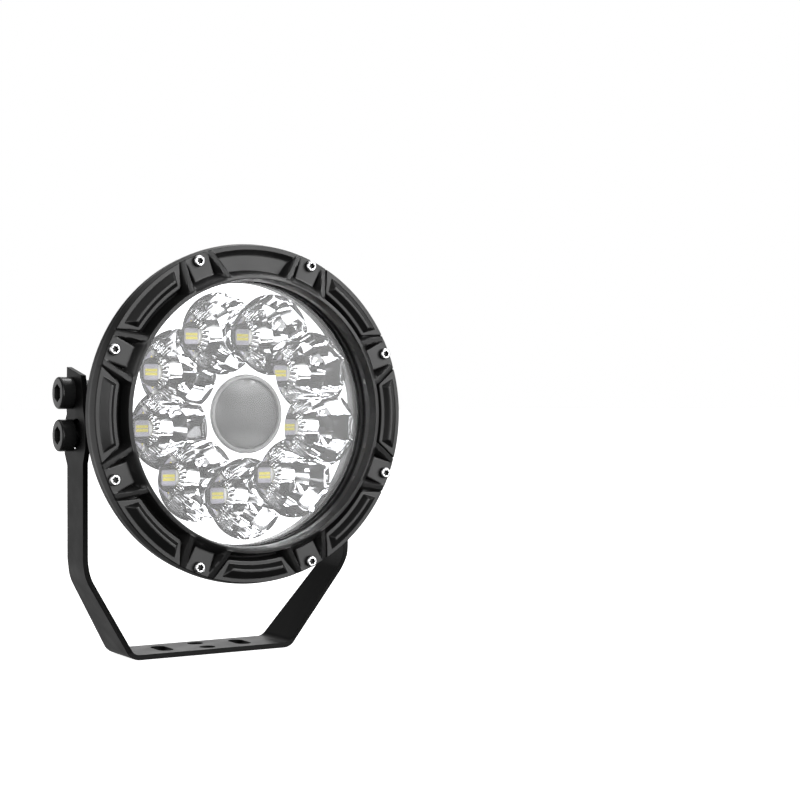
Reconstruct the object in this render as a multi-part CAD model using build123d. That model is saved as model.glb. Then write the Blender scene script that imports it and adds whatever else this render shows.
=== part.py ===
"""Round LED fog and driving light on a U bracket.

Row frame: the origin is the centre of the bracket foot's underside, +Z is up and the lamp shines along -Y.
Lamp parts are drawn in the lamp's own frame: its axis is local Z, the front is +Z, local Y is up, and a
depth is a distance behind the plane of the bezel screws' heads, so local z is minus the depth.
"""
import os
from math import atan2, cos, degrees, radians, sin, sqrt

from build123d import *

# ---- placing ---------------------------------------------------------------------------------------------
AXIS_HEIGHT = 125.7            # lamp axis above the foot's underside
FOOT_CENTRE_DEPTH = 66.8       # foot centre behind the screw-head plane
LAMP_FRAME = Location(Plane((0, -FOOT_CENTRE_DEPTH, AXIS_HEIGHT), x_dir=(1, 0, 0), z_dir=(0, -1, 0)))

# ---- bezel -----------------------------------------------------------------------------------------------
SECTORS = 8
SECTOR_ANGLE = 360 / SECTORS
SCREW_CIRCLE_R = 81.0
RIM_R = 85.0                   # widest radius, on the side wall
FACE_R = 83.9                  # radius of the front faces at the rim
FACE_DEPTH = 2.4               # pads and screw seats
TROUGH_DEPTH = 7.3
RIM_FLOOR_DEPTH = 4.4          # floor of the grooves where they run out at the rim
BEZEL_REAR = 10.0
LIP_TOP_DEPTH = -2.4
LIP_OUTER_R = 68.9
LIP_TOP_R = 67.1
LIP_FOOT_R = 70.2
LIP_INNER_R = 66.3
LIP_INNER_DEPTH = 2.7
LENS_RECESS_R = 68.0
GASKET_FRONT = 6.4
SEAT_HALF_ANGLE = 4.4          # screw seat, seen from the axis
SEAT_INNER_R = 72.0
PAD_INNER_R = 73.2
PAD_OUTER_HALF, PAD_INNER_HALF = 15.8, 11.8
ROOF_R = (75.1, 82.0)          # raised roof on each pad: foot radii
ROOF_HALF = (11.2, 12.8)
CREST_R = (77.1, 78.5)         # and the narrow crest that it rises to
CREST_HALF = 10.4
CREST_DEPTH = -0.5
ARM_WIDTH = 1.7                # slanted arms from the lip out to the rim
ARM_LIP_ANGLE, ARM_RIM_ANGLE = 13.6, 17.4
PANEL_DEPTH = 5.0              # floor of the plain panel at the top
PANEL_RIM_R = 82.2
PANEL_INNER_R = 72.0

# ---- optics ----------------------------------------------------------------------------------------------
LENS_R, LENS_FRONT, LENS_THICKNESS = 67.6, 7.4, 3.5
LENS_REAR = LENS_FRONT + LENS_THICKNESS
GASKET_R = (66.4, 67.5)
SEAL_R = (66.0, 67.4)
SEAL_THICKNESS = 1.2
SEAL_REAR = LENS_REAR + SEAL_THICKNESS
BOWLS = 9
BOWL_ANGLE = 360 / BOWLS
BOWL_START = -90.0             # the first bowl is at the bottom
BOWL_CIRCLE_R = 42.7
MOUTH_R, MOUTH_DEPTH = 20.65, 13.8
LED_DEPTH = 47.7
# focal length of a paraboloid whose focus is on the LED plane and whose rim is the mouth
FOCAL = (sqrt((LED_DEPTH - MOUTH_DEPTH) ** 2 + MOUTH_R ** 2) - (LED_DEPTH - MOUTH_DEPTH)) / 2
REFLECTOR_WALL = 1.8
REFLECTOR_REAR = LED_DEPTH - 0.3
REFLECTOR_R = 67.0
REFLECTOR_RIM_R = 65.2
FLANGE_THICKNESS = 1.6
CENTRE_BORE_R = 18.0
CENTRE_TUBE_R = 20.2
CENTRE_SHOULDER_DEPTH = 17.0
CENTRE_LENS_R = 17.6
CENTRE_DOME_TOP = 11.5
CENTRE_EDGE_DEPTH = 14.0
RING_R = (17.8, 20.0)
RING_TOP = 12.4
RING_NOTCHES = 8

# ---- electronics -----------------------------------------------------------------------------------------
PACKAGE_SIZE, PACKAGE_THICKNESS = 8.0, 1.0
BAR_SIZE = (6.6, 1.5)
BAR_GAP = 0.4
BAR_THICKNESS = 0.2
BOARD_R, BOARD_THICKNESS = 57.0, 1.6
BOARD_FRONT = LED_DEPTH + PACKAGE_THICKNESS
BOARD_REAR = BOARD_FRONT + BOARD_THICKNESS
BOARD_SCREWS, BOARD_SCREW_R, BOARD_SCREW_START = 6, 53.5, 30.0
PAD_THICKNESS = 0.4
FLOOR_FRONT = BOARD_REAR + PAD_THICKNESS
POCKET_R, POCKET_REAR = 24.0, 73.0
DRIVER_R, DRIVER_FRONT = 22.5, 60.0
DRIVER_REAR = DRIVER_FRONT + BOARD_THICKNESS
DRIVER_SCREWS, DRIVER_SCREW_R, DRIVER_SCREW_START = 3, 19.2, 30.0
POST_R = 3.0
M3_HOLE_R, M3_SHANK_R = 1.55, 1.5

# ---- housing ---------------------------------------------------------------------------------------------
FLANGE_R, FLANGE_REAR = 84.6, 14.6
SHOULDER_DEPTH = MOUTH_DEPTH + FLANGE_THICKNESS
FLOOR_REAR = 55.7
FIN_REAR = 80.0
FIN_THICKNESS, FIN_PITCH, FINS_PER_SIDE = 2.6, 8.4, 7
FIN_R_FRONT, FIN_R_REAR = 64.5, 57.0
HUB_R, HUB_REAR = 27.5, 78.0
GLAND_HEIGHT, VENT_HEIGHT = -12.0, 14.0

# ---- tilt joint and bracket ------------------------------------------------------------------------------
STRAP = 2.7                    # thickness of the strap
LEG_X = 75.5                   # outer face of a leg
JOINT_DEPTH = 57.8             # both bolts of a side, behind the screw-head plane
BOLT_HEIGHT = 10.65            # pivot bolt above the axis, lock bolt as far below it
BOLT_R, PIVOT_HOLE_R = 5.0, 5.06
BOLT_HEAD_R, BOLT_HEAD_HEIGHT, BOLT_LENGTH = 8.1, 7.2, 18.0
SOCKET_ACROSS, SOCKET_DEPTH = 8.0, 4.0
FACE_GAP = 0.05                # between the faces that slide on each other
LUG_HALF_WIDTH = 6.5
LUG_X = LEG_X - STRAP - FACE_GAP
SLOT_HALF_WIDTH = 7.0
SLOT_SWEEP = 21.0              # the arc slot runs forward from the lock bolt by this angle
KNEE_HEIGHT = -79.5            # outer corner between the leg and the slanted run, from the axis
KNEE_R = 27.0
FOOT_CORNER_X, FOOT_R = 45.6, 8.0
LEG_DEPTHS = (41.4, 63.6)
FOOT_DEPTHS = (50.9, 82.6)
FOOT_SLOT = (8.0, 18.0)
FOOT_SLOT_SPACING = 45.0
FOOT_HOLE_R, FOOT_HOLE_SPACING = 4.2, 15.4


# ---- helpers ---------------------------------------------------------------------------------------------
def polar(radius, angle):
    """A point in the lamp's face plane."""
    return Vector(radius * cos(radians(angle)), radius * sin(radians(angle)))


def lathe(points):
    """A solid turned about the lamp axis from (radius, depth) points."""
    outline = Polyline(*[(r, -d) for r, d in points], close=True)
    return revolve(Plane.XZ * make_face(outline), Axis.Z)


def tube(outer, inner, front, rear):
    """A ring about the lamp axis between two depths; inner 0 gives a disc."""
    if inner == 0:
        return lathe([(0, front), (outer, front), (outer, rear), (0, rear)])
    return lathe([(inner, front), (outer, front), (outer, rear), (inner, rear)])


def sector_face(inner_r, inner_half, outer_r, outer_half, depth, angle=0.0):
    """A face with two arcs about the axis and two straight ends, at a depth."""
    inner_a, inner_b = polar(inner_r, angle - inner_half), polar(inner_r, angle + inner_half)
    outer_a, outer_b = polar(outer_r, angle - outer_half), polar(outer_r, angle + outer_half)
    outline = [
        ThreePointArc(inner_a, polar(inner_r, angle), inner_b),
        Line(inner_b, outer_b),
        ThreePointArc(outer_b, polar(outer_r, angle), outer_a),
        Line(outer_a, inner_a),
    ]
    return Pos(0, 0, -depth) * make_face(outline)


def sector_block(inner_r, inner_half, outer_r, outer_half, front, rear, angle=0.0):
    return extrude(sector_face(inner_r, inner_half, outer_r, outer_half, rear, angle), rear - front)


def peg(x, y, radius, front, rear):
    """A round bar parallel to the lamp axis."""
    return Pos(x, y, -(front + rear) / 2) * Cylinder(radius, rear - front)


def block(x, y, width, height, front, rear, turn=0.0):
    return Pos(x, y, -(front + rear) / 2) * Rot(0, 0, turn) * Box(width, height, rear - front)


def cross_bar(x0, x1, height, radius, depth=JOINT_DEPTH):
    """A round bar parallel to X."""
    return Pos((x0 + x1) / 2, height, -depth) * Rot(0, 90, 0) * Cylinder(radius, abs(x1 - x0))


def around(count, start=0.0):
    return [start + 360 / count * i for i in range(count)]


def pan_screw(angle, circle_r, head_top, head_height, head_r, tip):
    """A pan-head screw with a star-shaped drive, its head facing the front."""
    centre = polar(circle_r, angle)
    head = peg(centre.X, centre.Y, head_r, head_top, head_top + head_height)
    head = fillet(head.edges().sort_by(Axis.Z)[-1], head_height * 0.4)
    screw = head + peg(centre.X, centre.Y, M3_SHANK_R, head_top + head_height, tip)
    drive = Pos(centre.X, centre.Y, -head_top) * star_drive(head_r * 0.5, head_height * 0.55)
    return screw - drive


def star_drive(radius, depth):
    """A six-lobed recess, its mouth at z = 0."""
    recess = Pos(0, 0, -depth / 2) * Cylinder(radius * 0.72, depth)
    for angle in around(6):
        lobe = polar(radius * 0.7, angle)
        recess += Pos(lobe.X, lobe.Y, -depth / 2) * Cylinder(radius * 0.3, depth)
    return recess


# ---- bezel and front glass -------------------------------------------------------------------------------
def bezel_ring():
    """The turned body: inner lip with its cone, trough, outer wall and lens recess."""
    return lathe([
        (LIP_INNER_R, LIP_INNER_DEPTH), (LIP_TOP_R, LIP_TOP_DEPTH), (LIP_OUTER_R, LIP_TOP_DEPTH),
        (LIP_FOOT_R, TROUGH_DEPTH), (77.0, TROUGH_DEPTH), (FACE_R, RIM_FLOOR_DEPTH), (RIM_R, TROUGH_DEPTH),
        (RIM_R, BEZEL_REAR), (LENS_RECESS_R, BEZEL_REAR), (LENS_RECESS_R, GASKET_FRONT),
        (LIP_INNER_R, GASKET_FRONT),
    ])


def bezel_arm(angle, side):
    """A slanted arm from the lip to the rim; its top falls from the lip's height to the pads' height."""
    inner = polar(LIP_OUTER_R - 0.8, angle + side * ARM_LIP_ANGLE)
    outer = polar(FACE_R - 0.2, angle + side * ARM_RIM_ANGLE)
    run = outer - inner
    turn = degrees(atan2(run.Y, run.X))
    length = run.length
    outline = Polyline((0, -LIP_TOP_DEPTH), (length, -FACE_DEPTH), (length, -TROUGH_DEPTH - 0.5),
                       (0, -TROUGH_DEPTH - 0.5), close=True)
    arm = extrude(Plane.XZ * make_face(outline), ARM_WIDTH / 2, both=True)
    return Pos(inner.X, inner.Y, 0) * Rot(0, 0, turn) * arm


def bezel_pad(angle):
    """A raised pad with its roof: a border, a wide outer slope, a narrow crest and a steep inner slope."""
    pad = sector_block(PAD_INNER_R, PAD_INNER_HALF, FACE_R, PAD_OUTER_HALF, FACE_DEPTH, TROUGH_DEPTH + 0.5, angle)
    foot = sector_face(ROOF_R[0], ROOF_HALF[0], ROOF_R[1], ROOF_HALF[1], FACE_DEPTH, angle)
    crest = sector_face(CREST_R[0], CREST_HALF, CREST_R[1], CREST_HALF, CREST_DEPTH, angle)
    return pad + loft([foot, crest], ruled=True)


def bezel_seat(angle):
    """The flat seat of a bezel screw, and the ramp from it up to the lip."""
    seat = sector_block(SEAT_INNER_R, SEAT_HALF_ANGLE, FACE_R, SEAT_HALF_ANGLE, FACE_DEPTH, TROUGH_DEPTH + 0.5, angle)
    ramp_outline = Polyline((LIP_OUTER_R - 0.5, -LIP_TOP_DEPTH - 0.4), (SEAT_INNER_R, -FACE_DEPTH - 0.6),
                            (SEAT_INNER_R + 1, -TROUGH_DEPTH - 0.5), (LIP_OUTER_R - 0.5, -TROUGH_DEPTH - 0.5),
                            close=True)
    ramp = revolve(Plane.XZ * make_face(ramp_outline), Axis.Z, 2 * SEAT_HALF_ANGLE)
    return seat + Rot(0, 0, angle - SEAT_HALF_ANGLE) * ramp


def bezel_panel():
    """The plain recessed panel at twelve o'clock with its rim border."""
    floor = sector_block(LIP_OUTER_R, ARM_LIP_ANGLE, PANEL_RIM_R + 0.5, ARM_RIM_ANGLE - 0.8, PANEL_DEPTH,
                         TROUGH_DEPTH + 0.5, 90)
    border = sector_block(PANEL_RIM_R, ARM_RIM_ANGLE - 0.2, FACE_R, ARM_RIM_ANGLE, FACE_DEPTH,
                          TROUGH_DEPTH + 0.5, 90)
    return floor + border


def front_bezel():
    body = bezel_ring() + bezel_panel()
    for angle in around(SECTORS):
        if angle != 90:
            body += bezel_pad(angle)
        body += bezel_arm(angle, 1)
        body += bezel_arm(angle, -1)
        body += bezel_seat(angle + SECTOR_ANGLE / 2)
    for angle in around(SECTORS, SECTOR_ANGLE / 2):
        centre = polar(SCREW_CIRCLE_R, angle)
        body -= peg(centre.X, centre.Y, M3_HOLE_R, -3, BEZEL_REAR + 1)
    return body


def bezel_screws():
    return [pan_screw(angle, SCREW_CIRCLE_R, 0, FACE_DEPTH, 2.85, FLANGE_REAR - 0.6)
            for angle in around(SECTORS, SECTOR_ANGLE / 2)]


def front_lens():
    disc = tube(LENS_R, 0, LENS_FRONT, LENS_REAR)
    return chamfer(disc.edges().group_by(Axis.Z)[-1], 0.4)


# ---- reflector and centre lens ---------------------------------------------------------------------------
def bowl_radius(depth, wall=0.0):
    """Radius of the paraboloid at a depth, thickened by the wall."""
    return sqrt(4 * FOCAL * (LED_DEPTH + FOCAL - depth)) + wall


def bowl(angle, wall, front, rear):
    """One paraboloid, closed at both ends."""
    steps = 6
    depths = [rear + (front - rear) * (i / steps) for i in range(steps + 1)]
    side = Spline(*[(bowl_radius(d, wall), -d) for d in depths])
    outline = [side, Line((bowl_radius(front, wall), -front), (0, -front)), Line((0, -front), (0, -rear)),
               Line((0, -rear), (bowl_radius(rear, wall), -rear))]
    centre = polar(BOWL_CIRCLE_R, angle)
    return Pos(centre.X, centre.Y, 0) * revolve(Plane.XZ * make_face(outline), Axis.Z)


def reflector():
    body = tube(REFLECTOR_R, 0, MOUTH_DEPTH, SHOULDER_DEPTH)
    body += tube(REFLECTOR_R, REFLECTOR_RIM_R, SEAL_REAR, MOUTH_DEPTH)
    body += tube(CENTRE_TUBE_R + REFLECTOR_WALL, 0, MOUTH_DEPTH, BOARD_FRONT)
    for angle in around(BOWLS, BOWL_START):
        body += bowl(angle, REFLECTOR_WALL, MOUTH_DEPTH, REFLECTOR_REAR)
    for angle in around(BOWLS, BOWL_START):
        body -= bowl(angle, 0, MOUTH_DEPTH - 1, REFLECTOR_REAR + 1)
    body -= tube(CENTRE_TUBE_R, 0, MOUTH_DEPTH - 1, CENTRE_SHOULDER_DEPTH)
    body -= tube(CENTRE_BORE_R - 1, 0, CENTRE_SHOULDER_DEPTH - 1, BOARD_FRONT + 1)
    return body


def centre_lens():
    """A domed lens with a flat back and a thin seating edge."""
    rise = CENTRE_EDGE_DEPTH - CENTRE_DOME_TOP
    dome_radius = (CENTRE_LENS_R ** 2 + rise ** 2) / (2 * rise)
    disc = tube(CENTRE_LENS_R, 0, CENTRE_DOME_TOP, CENTRE_SHOULDER_DEPTH)
    return disc & Pos(0, 0, -CENTRE_DOME_TOP - dome_radius) * Sphere(dome_radius)


def centre_lens_ring():
    """The collar round the centre lens, with shallow notches in its rim."""
    ring = tube(RING_R[1], RING_R[0], RING_TOP, CENTRE_SHOULDER_DEPTH)
    for angle in around(RING_NOTCHES):
        centre = polar(RING_R[1], angle)
        ring -= block(centre.X, centre.Y, 1.0, 4.0, RING_TOP - 1, MOUTH_DEPTH, angle)
    return ring


# ---- light sources and boards ----------------------------------------------------------------------------
def led_packages():
    packages = []
    for angle in around(BOWLS, BOWL_START):
        centre = polar(BOWL_CIRCLE_R, angle)
        package = block(centre.X, centre.Y, PACKAGE_SIZE, PACKAGE_SIZE, LED_DEPTH, BOARD_FRONT)
        packages.append(fillet(package.edges().filter_by(Axis.Z), 1.2))
    return packages


def led_emitters():
    bars = []
    for angle in around(BOWLS, BOWL_START):
        centre = polar(BOWL_CIRCLE_R, angle)
        for side in (-1, 1):
            height = centre.Y + side * (BAR_SIZE[1] + BAR_GAP) / 2
            bars.append(block(centre.X, height, *BAR_SIZE, LED_DEPTH - BAR_THICKNESS, LED_DEPTH))
    return bars


def position_led():
    return block(0, 0, 3.5, 3.5, BOARD_FRONT - 0.8, BOARD_FRONT)


def bored(body, count, circle_r, start, front, rear):
    """The body with a ring of screw holes."""
    for angle in around(count, start):
        centre = polar(circle_r, angle)
        body -= peg(centre.X, centre.Y, M3_HOLE_R, front, rear)
    return body


def led_board():
    disc = tube(BOARD_R, 0, BOARD_FRONT, BOARD_REAR)
    return bored(disc, BOARD_SCREWS, BOARD_SCREW_R, BOARD_SCREW_START, BOARD_FRONT - 1, BOARD_REAR + 1)


def thermal_pad():
    ring = tube(BOARD_R - 0.5, POCKET_R + 0.5, BOARD_REAR, FLOOR_FRONT)
    return bored(ring, BOARD_SCREWS, BOARD_SCREW_R, BOARD_SCREW_START, BOARD_REAR - 1, FLOOR_FRONT + 1)


def led_board_screws():
    return [pan_screw(angle, BOARD_SCREW_R, BOARD_FRONT - 2.0, 2.0, 2.8, FLOOR_FRONT + 4.0)
            for angle in around(BOARD_SCREWS, BOARD_SCREW_START)]


def driver_board():
    disc = tube(DRIVER_R, 0, DRIVER_FRONT, DRIVER_REAR)
    return bored(disc, DRIVER_SCREWS, DRIVER_SCREW_R, DRIVER_SCREW_START, DRIVER_FRONT - 1, DRIVER_REAR + 1)


def driver_screws():
    return [pan_screw(angle, DRIVER_SCREW_R, DRIVER_FRONT - 2.0, 2.0, 2.8, DRIVER_REAR + 4.0)
            for angle in around(DRIVER_SCREWS, DRIVER_SCREW_START)]


def driver_inductor():
    """A ring core with its winding, lying flat on the board."""
    core = tube(6.2, 2.6, DRIVER_FRONT - 6.0, DRIVER_FRONT)
    core = fillet(core.edges().group_by(Axis.Z)[-1], 1.5)
    return Pos(-8.5, 3.5, 0) * core


def driver_capacitors():
    """Two capacitor cans with crimped feet."""
    cans = []
    for x, y in ((3.5, 5.0), (12.0, 3.5)):
        can = peg(x, y, 4.0, DRIVER_FRONT - 8.0, DRIVER_FRONT)
        cans.append(fillet(can.edges().sort_by(Axis.Z)[-1], 0.8))
    return cans


def driver_chips():
    places = ((6.5, -5.5, 7.0, 6.0), (-5.0, -7.5, 5.0, 5.0), (14.0, -5.0, 4.5, 4.5))
    return [block(x, y, w, h, DRIVER_FRONT - 1.4, DRIVER_FRONT) for x, y, w, h in places]


def board_header():
    return block(0, 15.5, 12.0, 4.0, BOARD_REAR, DRIVER_FRONT)


def supply_terminals():
    """Two-pole terminal block behind the driver board, with its two wire mouths facing the gland."""
    body = block(0, GLAND_HEIGHT, 10.0, 7.0, DRIVER_REAR, DRIVER_REAR + 7.0)
    for x in (-2.5, 2.5):
        body -= peg(x, GLAND_HEIGHT, 1.5, DRIVER_REAR + 3.0, DRIVER_REAR + 8.0)
    return body


# ---- housing ---------------------------------------------------------------------------------------------
def housing_cup():
    """The turned cup: flange, lens and reflector seats, tapered wall and floor."""
    return lathe([
        (LENS_RECESS_R, BEZEL_REAR), (FLANGE_R, BEZEL_REAR), (FLANGE_R, FLANGE_REAR - 0.6),
        (FLANGE_R - 0.6, FLANGE_REAR), (73.5, FLANGE_REAR), (71.5, 17.0), (67.0, 50.0), (66.0, 53.5),
        (63.5, FLOOR_REAR), (POCKET_R, FLOOR_REAR), (POCKET_R, FLOOR_FRONT), (BOARD_R + 0.5, FLOOR_FRONT),
        (BOARD_R + 0.5, BOARD_FRONT - 1), (60.5, 44.0), (65.8, 18.0), (65.8, SHOULDER_DEPTH),
        (REFLECTOR_R + 0.2, SHOULDER_DEPTH), (REFLECTOR_R + 0.2, SEAL_REAR), (LENS_RECESS_R, SEAL_REAR),
    ])


def fin_envelope():
    """The tapering round block that the fins are cut from."""
    return lathe([(0, FLOOR_REAR - 1), (FIN_R_FRONT - 1, FLOOR_REAR - 1), (FIN_R_FRONT - 2, FLOOR_REAR + 2),
                  (FIN_R_REAR, FIN_REAR - 4), (FIN_R_REAR - 4, FIN_REAR), (0, FIN_REAR)])


def fins():
    """Upright cooling fins, side by side across the back."""
    rear_block = fin_envelope()
    result = None
    for i in range(-FINS_PER_SIDE, FINS_PER_SIDE + 1):
        sheet = block(i * FIN_PITCH, 0, FIN_THICKNESS, 2 * FIN_R_FRONT, FLOOR_REAR - 1, FIN_REAR + 1)
        fin = sheet & rear_block
        result = fin if result is None else result + fin
    return result


def side_lug(side):
    """The upright lug that the two bolts of one side screw into."""
    outline = SlotCenterToCenter(2 * BOLT_HEIGHT, 2 * LUG_HALF_WIDTH)
    inner_x = 56.0
    lug = extrude(Plane((side * inner_x, 0, -JOINT_DEPTH), x_dir=(0, 1, 0), z_dir=(side, 0, 0)) * outline,
                  LUG_X - inner_x)
    web = block(side * 60.5, 0, 9.0, 2 * (BOLT_HEIGHT + LUG_HALF_WIDTH), FLOOR_REAR - 2, JOINT_DEPTH + LUG_HALF_WIDTH)
    return lug + web


def housing():
    body = housing_cup() + fins()
    body += tube(HUB_R, 0, FLOOR_REAR - 0.5, HUB_REAR)
    body -= tube(POCKET_R, 0, FLOOR_FRONT - 1, POCKET_REAR)
    for side in (-1, 1):
        body += side_lug(side)
        for height in (-BOLT_HEIGHT, BOLT_HEIGHT):
            body -= cross_bar(side * (LUG_X + 1), side * (LEG_X - BOLT_LENGTH - 1), height, BOLT_R)
    for angle in around(SECTORS, SECTOR_ANGLE / 2):
        centre = polar(SCREW_CIRCLE_R, angle)
        body -= peg(centre.X, centre.Y, M3_SHANK_R, BEZEL_REAR - 1, FLANGE_REAR + 1)
    for angle in around(BOARD_SCREWS, BOARD_SCREW_START):
        centre = polar(BOARD_SCREW_R, angle)
        body -= peg(centre.X, centre.Y, M3_SHANK_R, FLOOR_FRONT - 1, FLOOR_FRONT + 4.0)
    for angle in around(DRIVER_SCREWS, DRIVER_SCREW_START):
        centre = polar(DRIVER_SCREW_R, angle)
        body += peg(centre.X, centre.Y, POST_R, DRIVER_REAR, POCKET_REAR + 1)
        body -= peg(centre.X, centre.Y, M3_SHANK_R, DRIVER_REAR - 1, DRIVER_REAR + 4.0)
    body -= peg(0, GLAND_HEIGHT, 6.0, POCKET_REAR - 1, HUB_REAR + 4)
    body -= peg(0, GLAND_HEIGHT, 9.5, HUB_REAR, FIN_REAR + 1)
    body -= peg(0, VENT_HEIGHT, 4.0, POCKET_REAR - 1, HUB_REAR + 4)
    body -= peg(0, VENT_HEIGHT, 8.0, HUB_REAR, FIN_REAR + 1)
    return body


def breather_vent():
    """A round plug with a slotted cap and a bored stem."""
    stem = peg(0, VENT_HEIGHT, 4.0, POCKET_REAR + 0.5, HUB_REAR)
    cap = peg(0, VENT_HEIGHT, 6.0, HUB_REAR, HUB_REAR + 2.6)
    cap = chamfer(cap.edges().sort_by(Axis.Z)[0], 0.8)
    vent = stem + cap - peg(0, VENT_HEIGHT, 1.5, POCKET_REAR - 1, HUB_REAR + 1)
    for angle in around(3):
        vent -= Pos(0, VENT_HEIGHT, -(HUB_REAR + 0.9)) * Rot(0, 0, angle) * Box(13.0, 1.0, 1.0)
    return vent


def gland_body():
    """Threaded barrel with a hexagonal collar; its bore is open right through."""
    collar = Pos(0, GLAND_HEIGHT, -(HUB_REAR + 4.0)) * extrude(RegularPolygon(9.0, 6), 4.0)
    barrel = peg(0, GLAND_HEIGHT, 6.0, POCKET_REAR + 0.5, HUB_REAR)
    neck = peg(0, GLAND_HEIGHT, 6.0, HUB_REAR + 4.0, HUB_REAR + 12.0)
    body = barrel + collar + neck
    body -= peg(0, GLAND_HEIGHT, 4.0, POCKET_REAR - 1, HUB_REAR + 3.0)
    body -= peg(0, GLAND_HEIGHT, 4.8, HUB_REAR + 3.0, HUB_REAR + 13.0)
    return body


def gland_seal():
    """The rubber sleeve that grips a cable; its bore is the cable's size."""
    sleeve = peg(0, GLAND_HEIGHT, 4.8, HUB_REAR + 3.0, HUB_REAR + 13.0)
    return sleeve - peg(0, GLAND_HEIGHT, 3.0, HUB_REAR + 2.0, HUB_REAR + 14.0)


def gland_nut():
    """The domed cap nut that squeezes the sleeve."""
    top = HUB_REAR + 16.5
    nut = Pos(0, GLAND_HEIGHT, -(HUB_REAR + 11.5)) * extrude(RegularPolygon(9.0, 6), 7.0)
    dome = Pos(0, GLAND_HEIGHT, 0) * lathe([(0, HUB_REAR + 11.5), (7.7, HUB_REAR + 11.5), (7.0, top - 2.0),
                                            (5.0, top), (0, top)])
    nut += dome
    nut -= peg(0, GLAND_HEIGHT, 6.0, HUB_REAR + 4.0, HUB_REAR + 13.0)
    return nut - peg(0, GLAND_HEIGHT, 3.6, HUB_REAR + 12.0, top + 1)


# ---- tilt joint ------------------------------------------------------------------------------------------
def cap_screw(side, height):
    """A low-head socket cap screw through the bracket's ear into the housing lug."""
    seat_x = LEG_X + FACE_GAP
    head = cross_bar(side * seat_x, side * (seat_x + BOLT_HEAD_HEIGHT), height, BOLT_HEAD_R)
    outer_edge = head.edges().filter_by(GeomType.CIRCLE).sort_by(Axis.X)[-1 if side > 0 else 0]
    head = fillet(outer_edge, 1.2)
    shank = cross_bar(side * (LEG_X - BOLT_LENGTH), side * seat_x, height, BOLT_R)
    mouth = Plane((side * (seat_x + BOLT_HEAD_HEIGHT), height, -JOINT_DEPTH), x_dir=(0, 1, 0), z_dir=(side, 0, 0))
    socket = extrude(mouth * RegularPolygon(SOCKET_ACROSS / 2, 6, major_radius=False), -SOCKET_DEPTH)
    return head + shank - socket


def pivot_bolts():
    return [cap_screw(side, BOLT_HEIGHT) for side in (-1, 1)]


def lock_bolts():
    return [cap_screw(side, -BOLT_HEIGHT) for side in (-1, 1)]


# ---- bracket ---------------------------------------------------------------------------------------------
def strap_profile():
    """The bent strap seen from the front, from ear to ear, about the lamp axis."""
    top = 30.0
    foot = -AXIS_HEIGHT
    outer = FilletPolyline((LEG_X, top), (LEG_X, KNEE_HEIGHT), (FOOT_CORNER_X, foot), (-FOOT_CORNER_X, foot),
                           (-LEG_X, KNEE_HEIGHT), (-LEG_X, top), radius=[KNEE_R, FOOT_R, FOOT_R, KNEE_R])
    return trace_strap(outer, top)


def trace_strap(outer, top):
    """The face between the outer line and the same line moved inwards by the strap's thickness."""
    inner_leg = LEG_X - STRAP
    slant = atan2(KNEE_HEIGHT + AXIS_HEIGHT, LEG_X - FOOT_CORNER_X)
    knee_shift = STRAP * (1 - sin(slant)) / cos(slant)
    foot_shift = STRAP * (1 - cos(slant)) / sin(slant)
    knee = (inner_leg, KNEE_HEIGHT + knee_shift)
    corner = (FOOT_CORNER_X - foot_shift, -AXIS_HEIGHT + STRAP)
    inner = FilletPolyline((-inner_leg, top), (-knee[0], knee[1]), (-corner[0], corner[1]), corner, knee,
                           (inner_leg, top),
                           radius=[KNEE_R - STRAP, FOOT_R - STRAP, FOOT_R - STRAP, KNEE_R - STRAP])
    ends = [Line((-LEG_X, top), (-inner_leg, top)), Line((inner_leg, top), (LEG_X, top))]
    return make_face([*outer.edges(), *inner.edges(), *ends])


def side_outline():
    """The strap seen from the side, as (depth, height): ear, leg, slanted run and foot."""
    front, rear = LEG_DEPTHS
    foot_front, foot_rear = FOOT_DEPTHS
    bottom = -AXIS_HEIGHT - 1
    return Polyline(
        (63.9, 23.9), (44.0, 19.4), (43.2, 17.0), (41.0, 2.0), (38.1, -5.0), (38.1, -17.0), (front, -24.5),
        (front, KNEE_HEIGHT + 3), (foot_front, -AXIS_HEIGHT + 4), (foot_front, bottom), (foot_rear, bottom),
        (foot_rear, -AXIS_HEIGHT + 4), (rear, KNEE_HEIGHT + 3), (rear, -26.0), (67.4, -20.0), (67.4, -4.0),
        (64.4, 0.0), close=True)


def arc_slot():
    """The lock bolt's slot, seen from the side: an arc about the pivot that runs forward from the bolt."""
    pivot = Vector(JOINT_DEPTH, BOLT_HEIGHT)
    reach = 2 * BOLT_HEIGHT

    def at(radius, angle):
        return pivot + Vector(-radius * sin(radians(angle)), -radius * cos(radians(angle)))

    inner_r, outer_r = reach - SLOT_HALF_WIDTH, reach + SLOT_HALF_WIDTH
    half = degrees(SLOT_HALF_WIDTH / reach)
    outline = [
        ThreePointArc(at(inner_r, 0), at(inner_r, SLOT_SWEEP / 2), at(inner_r, SLOT_SWEEP)),
        ThreePointArc(at(inner_r, SLOT_SWEEP), at(reach, SLOT_SWEEP) + front_step(SLOT_SWEEP), at(outer_r, SLOT_SWEEP)),
        ThreePointArc(at(outer_r, SLOT_SWEEP), at(outer_r, SLOT_SWEEP / 2), at(outer_r, 0)),
        ThreePointArc(at(outer_r, 0), at(reach, 0) - front_step(0), at(inner_r, 0)),
    ]
    return make_face(outline)


def front_step(angle):
    """From the slot's centre line to the end of its round end, at that angle of the arc."""
    return Vector(-SLOT_HALF_WIDTH * cos(radians(angle)), SLOT_HALF_WIDTH * sin(radians(angle)))


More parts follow.
